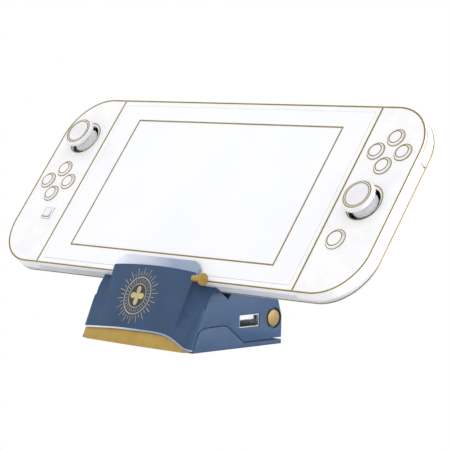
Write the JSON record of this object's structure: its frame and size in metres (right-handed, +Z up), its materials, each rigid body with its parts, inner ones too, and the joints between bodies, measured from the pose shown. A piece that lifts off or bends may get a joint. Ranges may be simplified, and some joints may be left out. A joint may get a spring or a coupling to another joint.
{
  "type": "game console with controllers in a charging stand",
  "caption": "Handheld console with detachable side controllers leaning in a small tilting charging stand with a sloped front panel and gold trim.",
  "frame": {"origin": "centre of the underside of the rubber pad under the stand", "axes": "+X to the right as the screen is faced, +Y to the back, +Z up"},
  "size_m": [0.239, 0.0833, 0.114],
  "materials": {
    "blue_shell": "satin moulded",
    "white_liner": "pearl gloss",
    "gold_trim": "satin plated",
    "white_shell": "fine textured matte",
    "glass": "polished",
    "display": "smooth",
    "button_white": "smooth",
    "stick_rubber": "soft matte",
    "steel": "brushed",
    "port_plastic": "moulded",
    "circuit": "solder mask",
    "cell_wrap": "shrink wrap",
    "foot_rubber": "matte",
    "inner_black": "moulded"
  },
  "bodies": {
    "base": {"stand_base": "blue_shell", "base_pad": "foot_rubber", "gold_front_trim": "gold_trim", "hinge_pins": "gold_trim", "ballast": "steel"},
    "stand": {"stand_body": "blue_shell", "front_panel": "blue_shell", "lip_liner": "white_liner", "lip_stud": "gold_trim", "connector_cradle": "inner_black", "usb_c_plug": "steel", "usb_a_port": "steel", "stand_board": "circuit"},
    "tablet": {"tablet_front_frame": "white_shell", "tablet_back_shell": "white_shell", "screen_glass": "glass", "display_panel": "display", "main_board": "circuit", "battery": "cell_wrap", "fan_housing": "inner_black", "speakers": "inner_black", "usb_c_port": "steel", "tablet_rails": "steel"},
    "fan": {"fan_rotor": "inner_black"},
    "power": {"power_button": "button_white"},
    "volume": {"volume_rocker": "button_white"},
    "card_flap": {"card_cover": "white_shell"},
    "kick_leg": {"kickstand": "white_shell"},
    "left_controller": {"left_front_shell": "white_shell", "left_back_shell": "white_shell", "left_rail": "steel", "left_stick_housing": "button_white", "left_board": "circuit", "left_battery": "cell_wrap"},
    "left_gimbal_ring": {"left_gimbal": "button_white"},
    "left_stick_top": {"left_stick": "stick_rubber"},
    "left_key_top": {"left_button_top": "button_white"},
    "left_key_bottom": {"left_button_bottom": "button_white"},
    "left_key_left": {"left_button_left": "button_white"},
    "left_key_right": {"left_button_right": "button_white"},
    "left_small_key": {"left_capture_button": "button_white"},
    "left_bumper_key": {"left_bumper": "button_white"},
    "left_trigger_key": {"left_trigger": "button_white"},
    "left_release_key": {"left_release_button": "button_white"},
    "right_controller": {"right_front_shell": "white_shell", "right_back_shell": "white_shell", "right_rail": "steel", "right_stick_housing": "button_white", "right_board": "circuit", "right_battery": "cell_wrap"},
    "right_gimbal_ring": {"right_gimbal": "button_white"},
    "right_stick_top": {"right_stick": "stick_rubber"},
    "right_key_top": {"right_button_top": "button_white"},
    "right_key_bottom": {"right_button_bottom": "button_white"},
    "right_key_left": {"right_button_left": "button_white"},
    "right_key_right": {"right_button_right": "button_white"},
    "right_small_key": {"right_home_button": "button_white"},
    "right_bumper_key": {"right_bumper": "button_white"},
    "right_trigger_key": {"right_trigger": "button_white"},
    "right_release_key": {"right_release_button": "button_white"}
  },
  "joints": [
    {"name": "stand_tilt", "type": "hinge", "parent": "base", "child": "stand", "pos_m": [0, 0.023, 0.0133], "axis": [-1, 0, 0], "range_deg": [0, 8]},
    {"name": "console_lift", "type": "slide", "parent": "stand", "child": "tablet", "axis": [0, 0.5962, 0.8028], "range_m": [0, 0.06]},
    {"name": "fan_spin", "type": "hinge", "parent": "tablet", "child": "fan", "pos_m": [0.008, 0.02339, 0.078], "axis": [0, 0.8028, -0.5962], "continuous": true},
    {"name": "power_press", "type": "slide", "parent": "tablet", "child": "power", "axis": [0, -0.5962, -0.8028], "range_m": [0, 0.0004], "stiffness_N_per_m": 900},
    {"name": "volume_rock", "type": "hinge", "parent": "tablet", "child": "volume", "pos_m": [-0.052, 0.04516, 0.10966], "axis": [0, 0.8028, -0.5962], "range_deg": [-2, 2], "stiffness_Nm_per_rad": 0.05},
    {"name": "card_flap_open", "type": "hinge", "parent": "tablet", "child": "card_flap", "pos_m": [0.0705, 0.04557, 0.11023], "axis": [0, 0.8028, -0.5962], "range_deg": [0, 80]},
    {"name": "kickstand_open", "type": "hinge", "parent": "tablet", "child": "kick_leg", "pos_m": [-0.066, 0.02767, 0.0737], "axis": [1, 0, 0], "range_deg": [0, 60]},
    {"name": "left_controller_slide", "type": "slide", "parent": "tablet", "child": "left_controller", "axis": [0, 0.5962, 0.8028], "range_m": [0, 0.1]},
    {"name": "left_stick_up_down", "type": "hinge", "parent": "left_controller", "child": "left_gimbal_ring", "pos_m": [-0.1016, 0.03019, 0.09051], "axis": [1, 0, 0], "range_deg": [-16, 16], "stiffness_Nm_per_rad": 0.05},
    {"name": "left_stick_left_right", "type": "hinge", "parent": "left_gimbal_ring", "child": "left_stick_top", "pos_m": [-0.1016, 0.03019, 0.09051], "axis": [0, 0.5962, 0.8028], "range_deg": [-16, 16], "stiffness_Nm_per_rad": 0.05},
    {"name": "left_press_top", "type": "slide", "parent": "left_controller", "child": "left_key_top", "axis": [0, 0.8028, -0.5962], "range_m": [0, 0.0005], "stiffness_N_per_m": 600},
    {"name": "left_press_bottom", "type": "slide", "parent": "left_controller", "child": "left_key_bottom", "axis": [0, 0.8028, -0.5962], "range_m": [0, 0.0005], "stiffness_N_per_m": 600},
    {"name": "left_press_left", "type": "slide", "parent": "left_controller", "child": "left_key_left", "axis": [0, 0.8028, -0.5962], "range_m": [0, 0.0005], "stiffness_N_per_m": 600},
    {"name": "left_press_right", "type": "slide", "parent": "left_controller", "child": "left_key_right", "axis": [0, 0.8028, -0.5962], "range_m": [0, 0.0005], "stiffness_N_per_m": 600},
    {"name": "left_press_capture", "type": "slide", "parent": "left_controller", "child": "left_small_key", "axis": [0, 0.8028, -0.5962], "range_m": [0, 0.0004], "stiffness_N_per_m": 600},
    {"name": "left_bumper_press", "type": "slide", "parent": "left_controller", "child": "left_bumper_key", "axis": [0, -0.5962, -0.8028], "range_m": [0, 0.0006], "stiffness_N_per_m": 800},
    {"name": "left_trigger_press", "type": "slide", "parent": "left_controller", "child": "left_trigger_key", "axis": [0, -0.5962, -0.8028], "range_m": [0, 0.0008], "stiffness_N_per_m": 600},
    {"name": "left_release_press", "type": "slide", "parent": "left_controller", "child": "left_release_key", "axis": [0, -0.8028, 0.5962], "range_m": [0, 0.0005], "stiffness_N_per_m": 900},
    {"name": "right_controller_slide", "type": "slide", "parent": "tablet", "child": "right_controller", "axis": [0, 0.5962, 0.8028], "range_m": [0, 0.1]},
    {"name": "right_stick_up_down", "type": "hinge", "parent": "right_controller", "child": "right_gimbal_ring", "pos_m": [0.1021, 0.01367, 0.06828], "axis": [1, 0, 0], "range_deg": [-16, 16], "stiffness_Nm_per_rad": 0.05},
    {"name": "right_stick_left_right", "type": "hinge", "parent": "right_gimbal_ring", "child": "right_stick_top", "pos_m": [0.1021, 0.01367, 0.06828], "axis": [0, 0.5962, 0.8028], "range_deg": [-16, 16], "stiffness_Nm_per_rad": 0.05},
    {"name": "right_press_top", "type": "slide", "parent": "right_controller", "child": "right_key_top", "axis": [0, 0.8028, -0.5962], "range_m": [0, 0.0005], "stiffness_N_per_m": 600},
    {"name": "right_press_bottom", "type": "slide", "parent": "right_controller", "child": "right_key_bottom", "axis": [0, 0.8028, -0.5962], "range_m": [0, 0.0005], "stiffness_N_per_m": 600},
    {"name": "right_press_left", "type": "slide", "parent": "right_controller", "child": "right_key_left", "axis": [0, 0.8028, -0.5962], "range_m": [0, 0.0005], "stiffness_N_per_m": 600},
    {"name": "right_press_right", "type": "slide", "parent": "right_controller", "child": "right_key_right", "axis": [0, 0.8028, -0.5962], "range_m": [0, 0.0005], "stiffness_N_per_m": 600},
    {"name": "right_press_home", "type": "slide", "parent": "right_controller", "child": "right_small_key", "axis": [0, 0.8028, -0.5962], "range_m": [0, 0.0004], "stiffness_N_per_m": 600},
    {"name": "right_bumper_press", "type": "slide", "parent": "right_controller", "child": "right_bumper_key", "axis": [0, -0.5962, -0.8028], "range_m": [0, 0.0006], "stiffness_N_per_m": 800},
    {"name": "right_trigger_press", "type": "slide", "parent": "right_controller", "child": "right_trigger_key", "axis": [0, -0.5962, -0.8028], "range_m": [0, 0.0008], "stiffness_N_per_m": 600},
    {"name": "right_release_press", "type": "slide", "parent": "right_controller", "child": "right_release_key", "axis": [0, -0.8028, 0.5962], "range_m": [0, 0.0005], "stiffness_N_per_m": 900}
  ]
}
